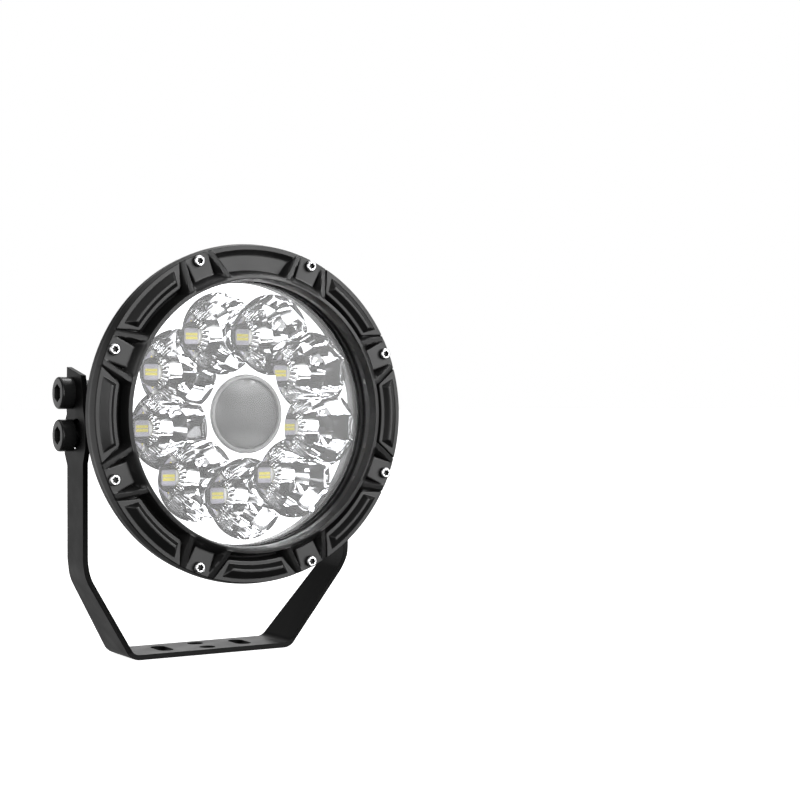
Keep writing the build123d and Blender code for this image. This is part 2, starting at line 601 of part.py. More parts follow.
def bracket():
    """Built about the lamp axis in (x, height) and (depth, height) views, then set in the row frame."""
    front_view = Plane.XZ
    side_view = Plane((0, 0, 0), x_dir=(0, 1, 0), z_dir=(1, 0, 0))
    strap = extrude(front_view * strap_profile(), -120)
    sides = extrude(side_view * make_face(side_outline()), 100, both=True)
    body = strap & sides
    body -= extrude(side_view * arc_slot(), 100, both=True)
    body -= Pos(0, JOINT_DEPTH, BOLT_HEIGHT) * Rot(0, 90, 0) * Cylinder(PIVOT_HOLE_R, 200)
    foot = Pos(0, FOOT_CENTRE_DEPTH, -AXIS_HEIGHT)
    for x in (-FOOT_SLOT_SPACING / 2, FOOT_SLOT_SPACING / 2):
        body -= foot * Pos(x, 0, 0) * Rot(0, 0, 90) * extrude(SlotOverall(FOOT_SLOT[1], FOOT_SLOT[0]), 10, both=True)
    for y in (-FOOT_HOLE_SPACING / 2, FOOT_HOLE_SPACING / 2):
        body -= foot * Pos(0, y, 0) * Cylinder(FOOT_HOLE_R, 20)
    return Pos(0, -FOOT_CENTRE_DEPTH, AXIS_HEIGHT) * body


# ---- assembly --------------------------------------------------------------------------------------------
def lamp_nodes():
    """Every node of the lamp head, in the lamp's own frame."""
    return {
        "front_bezel": front_bezel(),
        "bezel_screws": bezel_screws(),
        "lens_gasket": tube(GASKET_R[1], GASKET_R[0], GASKET_FRONT, LENS_FRONT),
        "front_lens": front_lens(),
        "lens_seal": tube(SEAL_R[1], SEAL_R[0], LENS_REAR, SEAL_REAR),
        "reflector": reflector(),
        "centre_lens": centre_lens(),
        "centre_lens_ring": centre_lens_ring(),
        "led_packages": led_packages(),
        "led_emitters": led_emitters(),
        "position_led": position_led(),
        "led_board": led_board(),
        "led_board_screws": led_board_screws(),
        "thermal_pad": thermal_pad(),
        "driver_board": driver_board(),
        "driver_screws": driver_screws(),
        "driver_inductor": driver_inductor(),
        "driver_capacitors": driver_capacitors(),
        "driver_chips": driver_chips(),
        "board_header": board_header(),
        "supply_terminals": supply_terminals(),
        "housing": housing(),
        "breather_vent": breather_vent(),
        "gland_body": gland_body(),
        "gland_seal": gland_seal(),
        "gland_nut": gland_nut(),
        "pivot_bolts": pivot_bolts(),
        "lock_bolts": lock_bolts(),
    }


def main():
    os.makedirs("parts", exist_ok=True)
    placed = {"bracket": bracket()}
    for name, shape in lamp_nodes().items():
        group = Compound(children=list(shape)) if isinstance(shape, list) else shape
        placed[name] = LAMP_FRAME * group
    for name, shape in placed.items():
        export_step(shape, f"parts/{name}.step")


main()
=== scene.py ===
"""LED fog and driving light on its U bracket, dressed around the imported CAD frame.

Lamp pieces are drawn in millimetres in the lamp's own frame: right, up, and a depth behind the plane of the
bezel screws' heads.
"""

import math

import bmesh
import bpy
import numpy as np
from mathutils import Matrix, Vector


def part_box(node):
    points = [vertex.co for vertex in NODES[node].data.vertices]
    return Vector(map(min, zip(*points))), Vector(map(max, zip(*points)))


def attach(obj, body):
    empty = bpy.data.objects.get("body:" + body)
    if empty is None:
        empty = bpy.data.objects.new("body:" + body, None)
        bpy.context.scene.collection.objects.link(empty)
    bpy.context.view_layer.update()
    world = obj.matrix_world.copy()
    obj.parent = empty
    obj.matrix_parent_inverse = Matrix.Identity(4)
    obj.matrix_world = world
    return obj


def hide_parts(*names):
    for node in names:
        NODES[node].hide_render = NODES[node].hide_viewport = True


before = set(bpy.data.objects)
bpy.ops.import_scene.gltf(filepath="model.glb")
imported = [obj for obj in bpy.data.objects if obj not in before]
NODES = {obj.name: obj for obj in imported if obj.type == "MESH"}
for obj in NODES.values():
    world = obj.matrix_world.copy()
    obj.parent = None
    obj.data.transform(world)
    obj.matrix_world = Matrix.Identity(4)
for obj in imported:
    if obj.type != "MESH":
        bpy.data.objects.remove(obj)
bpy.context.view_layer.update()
MM = 0.001
WELD_M, SLIVER_M = 2e-6, 1e-7
FRONT_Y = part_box("bezel_screws")[0].y
AXIS_Z = (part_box("front_bezel")[0].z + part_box("front_bezel")[1].z) / 2
rng = np.random.default_rng(7)


# ---- mesh helpers ----------------------------------------------------------------------------------------
def to_row(points):
    """Lamp millimetres (right, up, depth) to row metres."""
    p = np.asarray(points, float).reshape(-1, 3) * MM
    return np.stack([p[:, 0], FRONT_Y + p[:, 2], AXIS_Z + p[:, 1]], 1)


def add_object(name, mesh, finish, body, replaced):
    """A piece on a body, in place of the replaced nodes; with no finish its mesh keeps its own materials."""
    piece = bpy.data.objects.new(name, mesh)
    bpy.context.scene.collection.objects.link(piece)
    if finish:
        mesh.materials.clear()
        mesh.materials.append(finish)
    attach(piece, body)
    if replaced:
        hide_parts(*replaced)
    return piece


def shade_smooth(mesh, sharp_angle):
    """Smooth shading, but for the edges that turn by more than sharp_angle degrees."""
    mesh.polygons.foreach_set("use_smooth", [True] * len(mesh.polygons))
    mesh.set_sharp_from_angle(angle=math.radians(sharp_angle))


def mesh_from(name, points, faces, sharp_angle):
    """A mesh in row metres from lamp millimetres, its faces turned to agree with each other."""
    mesh = bpy.data.meshes.new(name)
    mesh.from_pydata([tuple(p) for p in to_row(points)], [], [tuple(int(i) for i in f) for f in faces])
    weld(mesh)
    shade_smooth(mesh, sharp_angle)
    return mesh


def weld(mesh):
    """Join points in the same place, drop faces without area and turn the faces outwards."""
    bm = bmesh.new()
    bm.from_mesh(mesh)
    bmesh.ops.remove_doubles(bm, verts=bm.verts, dist=WELD_M)
    bmesh.ops.dissolve_degenerate(bm, edges=bm.edges, dist=SLIVER_M)
    bmesh.ops.recalc_face_normals(bm, faces=bm.faces)
    bm.to_mesh(mesh)
    bm.free()


def grid_faces(rows, columns, closed=True):
    """Quads of a rows by columns grid of points; closed joins the last column to the first."""
    faces = []
    for i in range(rows - 1):
        for j in range(columns if closed else columns - 1):
            k = (j + 1) % columns
            near, far = i * columns, (i + 1) * columns
            faces.append((near + j, near + k, far + k, far + j))
    return faces


def smooth_max(a, b, k):
    """The larger of a and b, rounded over a difference of k."""
    h = np.clip(0.5 + 0.5 * (a - b) / k, 0, 1)
    return b * (1 - h) + a * h + k * h * (1 - h)


def smooth_min(a, b, k):
    return -smooth_max(-a, -b, k)


def ease(x):
    """A smooth step from 0 at x = 0 to 1 at x = 1."""
    x = np.clip(x, 0, 1)
    return x * x * (3 - 2 * x)


# ---- materials -------------------------------------------------------------------------------------------
def material(name, base, roughness, metallic=0.0, **sockets):
    """A Principled material; extra sockets are named with _ for each space."""
    m = bpy.data.materials.new(name)
    m.use_nodes = True
    shader = m.node_tree.nodes["Principled BSDF"]
    shader.inputs["Base Color"].default_value = (*base, 1)
    shader.inputs["Roughness"].default_value = roughness
    shader.inputs["Metallic"].default_value = metallic
    for key, value in sockets.items():
        shader.inputs[key.replace("_", " ")].default_value = value
    return m


def noise(m, scale, detail=3.0, stretch=(1, 1, 1)):
    """The output of a noise texture in the object's own coordinates; scale is in cycles per metre."""
    nodes, links = m.node_tree.nodes, m.node_tree.links
    coords = nodes.new("ShaderNodeTexCoord")
    mapping = nodes.new("ShaderNodeMapping")
    mapping.inputs["Scale"].default_value = stretch
    texture = nodes.new("ShaderNodeTexNoise")
    texture.inputs["Scale"].default_value = scale
    texture.inputs["Detail"].default_value = detail
    links.new(coords.outputs["Object"], mapping.inputs["Vector"])
    links.new(mapping.outputs["Vector"], texture.inputs["Vector"])
    return texture.outputs["Fac"]


NOISE_LOW, NOISE_HIGH = 0.3, 0.7   # the span that noise mostly keeps to


def vary_roughness(m, source, low, high):
    nodes, links = m.node_tree.nodes, m.node_tree.links
    span = nodes.new("ShaderNodeMapRange")
    span.inputs["From Min"].default_value = NOISE_LOW
    span.inputs["From Max"].default_value = NOISE_HIGH
    span.inputs["To Min"].default_value = low
    span.inputs["To Max"].default_value = high
    links.new(source, span.inputs["Value"])
    links.new(span.outputs["Result"], nodes["Principled BSDF"].inputs["Roughness"])


def vary_colour(m, source, dark, light):
    nodes, links = m.node_tree.nodes, m.node_tree.links
    ramp = nodes.new("ShaderNodeValToRGB")
    ramp.color_ramp.elements[0].position = NOISE_LOW
    ramp.color_ramp.elements[0].color = (*dark, 1)
    ramp.color_ramp.elements[1].position = NOISE_HIGH
    ramp.color_ramp.elements[1].color = (*light, 1)
    links.new(source, ramp.inputs["Fac"])
    links.new(ramp.outputs["Color"], nodes["Principled BSDF"].inputs["Base Color"])


def bump(m, source, depth_mm):
    nodes, links = m.node_tree.nodes, m.node_tree.links
    node = nodes.new("ShaderNodeBump")
    node.inputs["Distance"].default_value = depth_mm * MM
    node.inputs["Strength"].default_value = 1.0
    links.new(source, node.inputs["Height"])
    links.new(node.outputs["Normal"], nodes["Principled BSDF"].inputs["Normal"])


def coated_black(name, shade, rough_low, rough_high, grain_mm=0.35, relief_mm=0.012):
    """Powder coat: a faint orange-peel grain, with shade and gloss that drift slowly over the part."""
    m = material(name, (shade, shade, shade), rough_low)
    vary_roughness(m, noise(m, 90), rough_low, rough_high)
    drift = noise(m, 35, 4.0)
    vary_colour(m, drift, (shade * 0.8,) * 3, (shade * 1.25,) * 3)
    bump(m, noise(m, 1000 / grain_mm, 2.0), relief_mm)
    return m


def brushed_metal(name, base, rough_low, rough_high):
    """Bare metal with fine lines all one way."""
    stretch = (1, 1, 8)
    m = material(name, base, rough_low, 1.0)
    vary_roughness(m, noise(m, 900, 3.0, stretch), rough_low, rough_high)
    vary_colour(m, noise(m, 140), tuple(c * 0.88 for c in base), base)
    bump(m, noise(m, 2500, 2.0, stretch), 0.003)
    return m


def moulded(name, base, rough_low, rough_high, grain_mm=0.5, relief_mm=0.01):
    """Moulded plastic, rubber or resin with a fine grain."""
    m = material(name, base, rough_low)
    vary_roughness(m, noise(m, 150), rough_low, rough_high)
    dark, light = (c * 0.85 for c in base), (min(1, c * 1.1) for c in base)
    vary_colour(m, noise(m, 60), dark, light)
    bump(m, noise(m, 1000 / grain_mm, 2.0), relief_mm)
    return m


def clear_glass(name, tint):
    """Clear pane that lets lamps through."""
    m = material(name, tint, 0.0, IOR=1.5, Transmission_Weight=1.0)
    nodes, links = m.node_tree.nodes, m.node_tree.links
    shader = nodes["Principled BSDF"]
    output = nodes["Material Output"]
    path = nodes.new("ShaderNodeLightPath")
    through = nodes.new("ShaderNodeBsdfTransparent")
    mix = nodes.new("ShaderNodeMixShader")
    links.new(path.outputs["Is Shadow Ray"], mix.inputs["Fac"])
    links.new(shader.outputs["BSDF"], mix.inputs[1])
    links.new(through.outputs["BSDF"], mix.inputs[2])
    links.new(mix.outputs["Shader"], output.inputs["Surface"])
    return m


BEZEL_BLACK = coated_black("bezel_black", 0.011, 0.36, 0.44)
BEZEL_BLACK.node_tree.nodes["Principled BSDF"].inputs["Specular IOR Level"].default_value = 0.7
HOUSING_BLACK = coated_black("housing_black", 0.018, 0.38, 0.48, 0.45, 0.02)
BRACKET_BLACK = coated_black("bracket_black", 0.009, 0.36, 0.44, 0.4, 0.015)
BRACKET_BLACK.node_tree.nodes["Principled BSDF"].inputs["Specular IOR Level"].default_value = 0.12
BOLT_BLACK = coated_black("bolt_black", 0.030, 0.20, 0.27, 0.6, 0.004)
STAINLESS = brushed_metal("stainless", (0.92, 0.92, 0.93), 0.22, 0.34)
# painted shade: this black goes on the screws' drives and the sides of their heads, standing for shade in
# the drive and for shade and a dark reflection on the sides
SCREW_PAINTED_SHADE = coated_black("screw_painted_shade", 0.01, 0.4, 0.5)
GLASS = clear_glass("clear_glass", (0.99, 0.995, 0.995))
MIRROR = material("metallised", (0.94, 0.94, 0.95), 0.05, 1.0)
vary_roughness(MIRROR, noise(MIRROR, 60), 0.02, 0.05)
COLLAR = moulded("collar", (0.17, 0.17, 0.172), 0.22, 0.30, 0.8, 0.003)
SMOKED = moulded("smoked_dome", (0.035, 0.035, 0.036), 0.26, 0.27, 12.0, 0.0005)
PACKAGE = moulded("led_ceramic", (0.27, 0.26, 0.31), 0.45, 0.55, 0.4, 0.004)
PHOSPHOR = moulded("phosphor", (0.50, 0.44, 0.03), 0.5, 0.65, 0.25, 0.01)
SILICONE = moulded("silicone", (0.008, 0.008, 0.008), 0.6, 0.75)
PLASTIC = moulded("black_plastic", (0.018, 0.018, 0.019), 0.42, 0.55, 0.5, 0.02)
BOARD_WHITE = moulded("board_white", (0.75, 0.75, 0.72), 0.35, 0.45)
BOARD_GREEN = moulded("board_green", (0.02, 0.16, 0.06), 0.3, 0.4)
GAP_PAD = moulded("gap_pad", (0.25, 0.30, 0.42), 0.6, 0.8)
FERRITE = moulded("ferrite", (0.05, 0.05, 0.055), 0.5, 0.7)
CAN = brushed_metal("capacitor_can", (0.75, 0.75, 0.77), 0.25, 0.35)


# ---- bezel -----------------------------------------------------------------------------------------------
SECTORS, TOP_SECTOR, SECTOR_SPAN = 8, 2, 45
# the opening: a cone behind a raised lip, whose crown leans and whose outer wall falls to the floor
CONE_R, CONE_DEPTH = 66.3, 2.7
LIP_DEPTH, LIP_INNER_R, LIP_OUTER_R = -2.4, 67.1, 69.1
CROWN_LEAN, LIP_WALL = 0.20, 5.0
# the floor between the raised parts comes up towards the rim
FACE_DEPTH, FLOOR_DEPTH, RIM_FLOOR_DEPTH, FLOOR_R = 2.4, 7.3, 4.4, 77
FACE_R, RIM_R = 83.9, 85.0
# ridged pads: a flat border, then a roof that rises to a crest
PAD_R, WALL = 73.2, 4.0
ROOF_R, CREST_R, CREST_DEPTH, CREST_SPAN = (75.1, 82.0), (77.1, 78.5), -0.5, 1.4
# the plain panel at the top
PANEL_DEPTH, PANEL_R, PANEL_WALL_R, PANEL_SIDE_WALL = 5.0, 81.8, 79.6, 3
# the ledge behind its lip: depth, radii of its two ends, and how steeply each end falls
LEDGE_DEPTH, LEDGE_INNER_R, LEDGE_OUTER_R = LIP_DEPTH + 0.5, LIP_INNER_R + 0.4, 69.6
LEDGE_INNER_WALL, LEDGE_OUTER_WALL = 8, 4.0
# arms beside the screw seats, in mm from each arm's line
ARM_START_R, ARM_HALF_WIDTH, ARM_WALL, ARM_DROP = 68.6, 1.6, 3.4, 0.15
ARM_OUTER_ANGLE, ARM_OUTER_SPAN = 14.8, 1.0
ARM_LINE_R, ARM_END_WALL = 68.9, 4
# screw seats, each with a ramp that curves down to the lip
SEAT_R, SEAT_EDGE, SEAT_CENTRE = 72.0, 18.1, 22.5
RAMP_CURVE = (FACE_DEPTH - LIP_DEPTH) / (SEAT_R - LIP_INNER_R) ** 2
# how far the joins between neighbouring surfaces are rounded
CROWN_ROUND, LIP_ROUND, RAMP_ROUND, ARM_ROUND, SEAT_ROUND = 0.7, 0.55, 0.4, 1.3, 0.9
PANEL_ROUND, LEDGE_ROUND, LEDGE_FOOT_ROUND = 0.5, 0.8, 0.6
PAD_ROUND, PAD_CORNER_ROUND, ROOF_ROUND, ROOF_FOOT_ROUND = 0.9, 1.2, 0.35, 0.12
# the back, in (radius, depth) from the rim to the foot of the cone
BEZEL_REAR, GASKET_FRONT, RECESS_R = 10.0, 6.4, 68.0
BEZEL_BACK = ((RIM_R - 0.02, 7.2), (RIM_R, 7.6), (RIM_R, 9.6), (84.7, BEZEL_REAR), (RECESS_R, BEZEL_REAR),
              (RECESS_R, GASKET_FRONT), (CONE_R, GASKET_FRONT), (CONE_R, 3.3))


# lines across a half sector, as degrees from the pad's centre at radius r
def pad_edge(r):
    return 11.8 + 0.374 * (r - PAD_R)


def arm_line(r):
    return 13.6 + 0.2533 * (r - ARM_LINE_R)


def roof_end(r):
    return 11.2 + 0.232 * (r - ROOF_R[0])


def crest_end(r):
    return roof_end(r) - CREST_SPAN


def lip_depth(r, a):
    """The lip along a pad, which turns into the seat's ramp beyond the arm."""
    cone = LIP_DEPTH + (LIP_INNER_R - r) * (CONE_DEPTH - LIP_DEPTH) / (LIP_INNER_R - CONE_R)
    out = np.maximum(r - LIP_INNER_R, 0)
    crown = smooth_max(LIP_DEPTH + CROWN_LEAN * out, cone, CROWN_ROUND)
    lip = smooth_max(crown, LIP_DEPTH + (r - LIP_OUTER_R) * LIP_WALL, LIP_ROUND)
    ramp = smooth_max(cone, LIP_DEPTH + RAMP_CURVE * out ** 2, RAMP_ROUND)
    beyond_arm = ease((a - ARM_OUTER_ANGLE) / ARM_OUTER_SPAN)
    return lip * (1 - beyond_arm) + ramp * beyond_arm


def arm_depth(r, a, arc):
    offset = np.abs(a - arm_line(r)) * arc
    top = LIP_DEPTH + (FACE_DEPTH - LIP_DEPTH) * (r - ARM_START_R) / (FACE_R - ARM_START_R) + ARM_DROP
    arm = smooth_max(top, top + (offset - ARM_HALF_WIDTH) * ARM_WALL, ARM_ROUND)
    return arm + np.maximum(LIP_OUTER_R - r, 0) * ARM_END_WALL


def panel_depth(r, a, arc):
    wall = (r - PANEL_WALL_R) / (PANEL_R - PANEL_WALL_R)
    panel = PANEL_DEPTH - np.clip(wall, 0, 1) * (PANEL_DEPTH - FACE_DEPTH)
    panel = smooth_max(panel, PANEL_DEPTH + (a - arm_line(r)) * arc * PANEL_SIDE_WALL, PANEL_ROUND)
    outer = np.maximum(r - LEDGE_OUTER_R, 0) * LEDGE_OUTER_WALL
    inner = np.maximum(LEDGE_INNER_R - r, 0) * LEDGE_INNER_WALL
    ledge = smooth_max(LEDGE_DEPTH + outer + inner, LEDGE_DEPTH, LEDGE_ROUND)
    with_ledge = smooth_min(panel, ledge, LEDGE_FOOT_ROUND)
    return np.where(a < arm_line(r), with_ledge, panel)


def pad_depth(r, a, arc):
    outside = smooth_max(PAD_R - r, (a - pad_edge(r)) * arc, PAD_CORNER_ROUND)
    pad = smooth_max(FACE_DEPTH, FACE_DEPTH + outside * WALL, PAD_ROUND)
    rise = FACE_DEPTH - CREST_DEPTH
    inner = FACE_DEPTH - (r - ROOF_R[0]) * rise / (CREST_R[0] - ROOF_R[0])
    outer = FACE_DEPTH - (ROOF_R[1] - r) * rise / (ROOF_R[1] - CREST_R[1])
    end = FACE_DEPTH - (roof_end(r) - a) * rise / CREST_SPAN
    ridge = smooth_max(inner, outer, ROOF_ROUND)
    roof = smooth_max(ridge, smooth_max(end, CREST_DEPTH, ROOF_ROUND), ROOF_ROUND)
    return smooth_min(pad, roof, ROOF_FOOT_ROUND)


def bezel_depth(r, a, top):
    """Depth of the bezel's front at radius r and a degrees from the nearest pad's centre."""
    arc = np.radians(1) * r
    depth = FLOOR_DEPTH - ease((r - FLOOR_R) / (FACE_R - FLOOR_R)) * (FLOOR_DEPTH - RIM_FLOOR_DEPTH)
    seat = smooth_max(FACE_DEPTH, FACE_DEPTH + (SEAT_EDGE - a) * arc * WALL, SEAT_ROUND)
    pad = panel_depth(r, a, arc) if top else pad_depth(r, a, arc)
    for raised, rounding in ((pad, 0.5), (seat, 0.5), (arm_depth(r, a, arc), 0.6), (lip_depth(r, a), 0.5)):
        depth = smooth_min(depth, raised, rounding)
    return depth


def spread(start, stop, count):
    """Values from start towards stop, crowded at both ends, without the last."""
    k = np.arange(count)
    return start + (stop - start) * (1 - np.cos(np.pi * k / count)) / 2


def spread_all(marks, counts):
    """Values along a list of marks, with a count of them for each stretch, and the last mark."""
    values = []
    for start, stop, count in zip(marks, marks[1:], counts):
        values.extend(spread(start, stop, count))
    return np.array(values + [marks[-1]])


def bezel_radii():
    marks = [CONE_R, LIP_INNER_R, LIP_OUTER_R, SEAT_R, PAD_R, ROOF_R[0], *CREST_R, ROOF_R[1], FACE_R]
    return spread_all(marks, (7, 5, 6, 3, 5, 5, 4, 7, 6))


def half_sector(r):
    """Angles from a pad's centre to a seat's centre; they follow the pad's and arm's edges at radius r."""
    pad = max(pad_edge(r), roof_end(r) + 0.25)
    marks = [0.0, crest_end(r), roof_end(r), pad, arm_line(r), SEAT_EDGE, SEAT_CENTRE]
    return spread_all(marks, (12, 6, 7, 10, 8, 8))


def bezel_rows():
    """Rows of (radius, angle, depth) all round, from the cone's foot out over the front."""
    rows = []
    for r in bezel_radii():
        half = half_sector(r)
        offsets = np.sort(np.concatenate([half, -half[1:-1]]))
        angles, depths = [], []
        for sector in range(SECTORS):
            angles.append(sector * SECTOR_SPAN + offsets)
            depths.append(bezel_depth(np.full_like(offsets, r), np.abs(offsets), sector == TOP_SECTOR))
        rows.append((np.full(SECTORS * len(offsets), r), np.concatenate(angles), np.concatenate(depths)))
    return rows


def make_bezel():
    rows = bezel_rows()
    _, angles, depths = rows[-1]

    def add_row(r, depth):
        rows.append((np.full_like(angles, r), angles, depth))

    # the rounded edge from the face to the rim, then the back
    add_row(84.15, depths + 0.25)
    add_row(84.3, depths + 0.8)
    add_row(84.55, np.maximum(depths + 1.2, 5.6))
    for r, depth in BEZEL_BACK:
        add_row(r, np.full_like(angles, depth))
    points = []
    for r, a, d in rows:
        t = np.radians(a)
        points.append(np.stack([r * np.cos(t), r * np.sin(t), d], 1))
    columns = len(angles)
    faces = grid_faces(len(rows), columns)
    last = (len(rows) - 1) * columns
    faces += [(last + j, last + (j + 1) % columns, (j + 1) % columns, j) for j in range(columns)]
    mesh = mesh_from("bezel", np.concatenate(points), faces, sharp_angle=50)
    add_object("bezel", mesh, BEZEL_BLACK, "lamp", ["front_bezel"])


# ---- screws ----------------------------------------------------------------------------------------------
SCREW_CIRCLE, SCREW_POINTS = 81, 36
LOBES, LOBE_HEIGHT = 6, 0.16
# rings from the drive's floor over the head to its seat: radius, depth, and how much of the star shows
SCREW_RINGS = [(0.35, 1.5, 1.0), (1.30, 1.5, 1.0), (1.42, 0.25, 1.0), (1.50, 0.06, 0.9), (1.75, 0.0, 0.3),
               (2.2, 0.04, 0.0), (2.5, 0.2, 0.0), (2.72, 0.5, 0.0), (2.83, 0.9, 0.0), (2.85, 1.3, 0.0),
               (2.85, 2.4, 0.0)]
# the head is painted dark up to ring DRIVE_RING and from ring WALL_RING on: painted shade in the drive, and
# painted shade with a painted dark reflection on the head's side wall
DRIVE_RING, WALL_RING = 1, 8


def ring_points(centre, radius, depth, count, shape=None):
    """Points round a centre; shape scales the radius by the angle."""
    angles = np.arange(count) * 2 * np.pi / count
    factor = shape(angles) if shape else 1.0
    x = centre[0] + radius * factor * np.cos(angles)
    y = centre[1] + radius * factor * np.sin(angles)
    return np.stack([x, y, np.full(count, depth)], 1)


def loops_mesh(loops, cap_first=False, cap_last=False):
    """Faces that join a list of equal rings of points."""
    count = len(loops[0])
    faces = grid_faces(len(loops), count)
    if cap_first:
        faces.append(tuple(range(count)))
    if cap_last:
        faces.append(tuple((len(loops) - 1) * count + j for j in range(count)))
    return np.concatenate(loops), faces


def screw_loops(centre, turn):
    """Rings of one pan-head screw with a six-lobed drive."""
    def lobed(amount):
        return lambda t: 1 + amount * LOBE_HEIGHT * np.cos(LOBES * (t + turn))

    return [ring_points(centre, r, d, SCREW_POINTS, lobed(amount)) for r, d, amount in SCREW_RINGS]


def make_screws():
    points, faces, dark = [], [], []
    for k in range(SECTORS):
        angle = math.radians(SEAT_CENTRE + SECTOR_SPAN * k)
        centre = (SCREW_CIRCLE * math.cos(angle), SCREW_CIRCLE * math.sin(angle))
        p, f = loops_mesh(screw_loops(centre, rng.uniform(0, math.pi / 3)), cap_first=True)
        base = sum(len(q) for q in points)
        points.append(p)
        for index, face in enumerate(f):
            faces.append(tuple(base + i for i in face))
            ring = index // SCREW_POINTS
            # faces of the drive, its floor and the head's side wall take the painted shade; the rest of the
            # head is bare stainless
            dark.append(index == len(f) - 1 or ring <= DRIVE_RING or ring >= WALL_RING)
    mesh = bpy.data.meshes.new("bezel_screw_heads")
    mesh.from_pydata([tuple(p) for p in to_row(np.concatenate(points))], [], faces)
    mesh.materials.append(STAINLESS)
    # the second slot is the painted shade for the drives and the head sides
    mesh.materials.append(SCREW_PAINTED_SHADE)
    mesh.polygons.foreach_set("material_index", [int(d) for d in dark])
    weld(mesh)
    shade_smooth(mesh, 50)
    add_object("bezel_screw_heads", mesh, None, "lamp", ["bezel_screws"])


# ---- reflector -------------------------------------------------------------------------------------------
BOWLS, BOWL_SPAN, BOWL_CIRCLE = 9, 40, 42.7
MOUTH_R, MOUTH_DEPTH, LED_DEPTH = 20.65, 13.8, 47.7
FOCAL = (math.hypot(LED_DEPTH - MOUTH_DEPTH, MOUTH_R) - (LED_DEPTH - MOUTH_DEPTH)) / 2
NECK_R = 2 * FOCAL
FLUTE_END_R = 8.8
COLLAR_HOLE_R, COLLAR_HOLE_DEPTH, PLATE_R = 20.1, 17.0, 66.9
# rings of each bowl: inner and outer radius, sectors, height of each sector's bulge and of the ring's bulge
FACET_RINGS = ((NECK_R, FLUTE_END_R, 24, 0.17, 0.0), (FLUTE_END_R, 12.6, 1, 0.0, 0.09),
               (12.6, 16.4, 9, 0.7, 0.05), (16.4, MOUTH_R, 9, 0.7, 0.0))
COLUMNS, RING_STEPS = 144, 8
# flutes and facets fade out this many degrees either side of the lamp's right
FLUTES_END, FLUTES_FADE = 80, 20
FACETS_END, FACETS_FADE = 105, 50
# mm over which facets fade out at the mouth and at the seams; flutes rise over an eighth of their length
MOUTH_FADE, SEAM_FADE, FLUTE_RISE = 0.7, 1.5, 1 / 8


def bowl_depth(radius):
    """A paraboloid with its focus at the light source."""
    return LED_DEPTH + FOCAL - radius ** 2 / (4 * FOCAL)


def bowl_bearing(index):
    return math.radians(-90 + BOWL_SPAN * index)


def bowl_centre(index):
    bearing = bowl_bearing(index)
    return BOWL_CIRCLE * math.cos(bearing), BOWL_CIRCLE * math.sin(bearing)


def bowl_grid():
    """Rows of one bowl as (radius, height of the facets over the columns), and which edges are borders."""
    angles = np.arange(COLUMNS) * 2 * np.pi / COLUMNS
    rows, borders = [], []
    for ring, (inner, outer, sectors, height, bulge) in enumerate(FACET_RINGS):
        width = COLUMNS // sectors
        start = (width // 2) * (ring % 2)
        v = ((np.arange(COLUMNS) + start) % width) / width
        half = np.pi / sectors
        for step in range(RING_STEPS + 1):
            u = step / RING_STEPS
            radius = inner + (outer - inner) * u
            if ring == 0:
                pillow = height * np.sin(np.pi * v) * ease(u / FLUTE_RISE) * ease((1 - u) / FLUTE_RISE)
            else:
                pillow = 0 * v
                if sectors > 1:
                    pillow = height * radius * (1 - np.cos(half) / np.cos((2 * v - 1) * half))
                pillow = (pillow + bulge * math.sin(math.pi * u)) * ease((MOUTH_R - radius) / MOUTH_FADE)
            rows.append((radius, pillow))
            edge_columns = [j for j in range(COLUMNS) if (j + start) % width == 0]
            borders.append((step in (0, RING_STEPS), edge_columns))
    return angles, rows, borders


def make_bowl(index, angles, rows, borders):
    """One faceted bowl in its place, cut by the planes halfway to its neighbours."""
    bearing = bowl_bearing(index)
    centre = bowl_centre(index)
    off_right = np.abs((np.degrees(angles) + 180) % 360 - 180)
    flutes = ease((FLUTES_END - off_right) / FLUTES_FADE)
    facets = ease((FACETS_END - off_right) / FACETS_FADE)
    bm = bmesh.new()
    grid = []
    for radius, pillow in rows:
        slope = radius / (2 * FOCAL)
        normal_scale = 1 / math.hypot(1, slope)
        x = centre[0] + radius * np.cos(angles)
        y = centre[1] + radius * np.sin(angles)
        # the facets flatten towards the seam with the next bowl, so that both sides of it meet
        away = np.degrees(np.abs((np.arctan2(y, x) - bearing + np.pi) % (2 * np.pi) - np.pi))
        clear = ease((BOWL_SPAN / 2 - away) * np.radians(1) * np.hypot(x, y) / SEAM_FADE)
        inward = pillow * (flutes if radius < FLUTE_END_R else facets) * clear
        r = radius - inward * slope * normal_scale
        depth = bowl_depth(radius) - inward * normal_scale
        p = to_row(np.stack([centre[0] + r * np.cos(angles), centre[1] + r * np.sin(angles), depth], 1))
        grid.append([bm.verts.new(tuple(q)) for q in p])
    for i in range(len(grid) - 1):
        for j in range(COLUMNS):
            k = (j + 1) % COLUMNS
            face = bm.faces.new((grid[i][j], grid[i][k], grid[i + 1][k], grid[i + 1][j]))
            face.smooth = True
    for i, (ring_border, columns) in enumerate(borders):
        for j in range(COLUMNS):
            if ring_border and i:
                bm.edges.get((grid[i][j], grid[i][(j + 1) % COLUMNS])).smooth = False
        if i + 1 < len(grid):
            for j in columns:
                bm.edges.get((grid[i][j], grid[i + 1][j])).smooth = False
    for side in (-1, 1):
        plane = bearing + side * math.radians(BOWL_SPAN / 2)
        normal = Vector((-math.sin(plane), 0, math.cos(plane))) * side
        bmesh.ops.bisect_plane(bm, geom=bm.verts[:] + bm.edges[:] + bm.faces[:], dist=SLIVER_M,
                               plane_co=(0, 0, AXIS_Z), plane_no=normal, clear_outer=True)
    return bm


def plate_strip(inner, outer, depth_inner, depth_outer, count=360):
    """A flat strip round the axis between two outlines given as functions of the bearing in radians."""
    t = np.arange(count) * 2 * np.pi / count
    a, b = inner(t), outer(t)
    first = np.stack([a * np.cos(t), a * np.sin(t), np.full(count, depth_inner)], 1)
    second = np.stack([b * np.cos(t), b * np.sin(t), np.full(count, depth_outer)], 1)
    return first, second


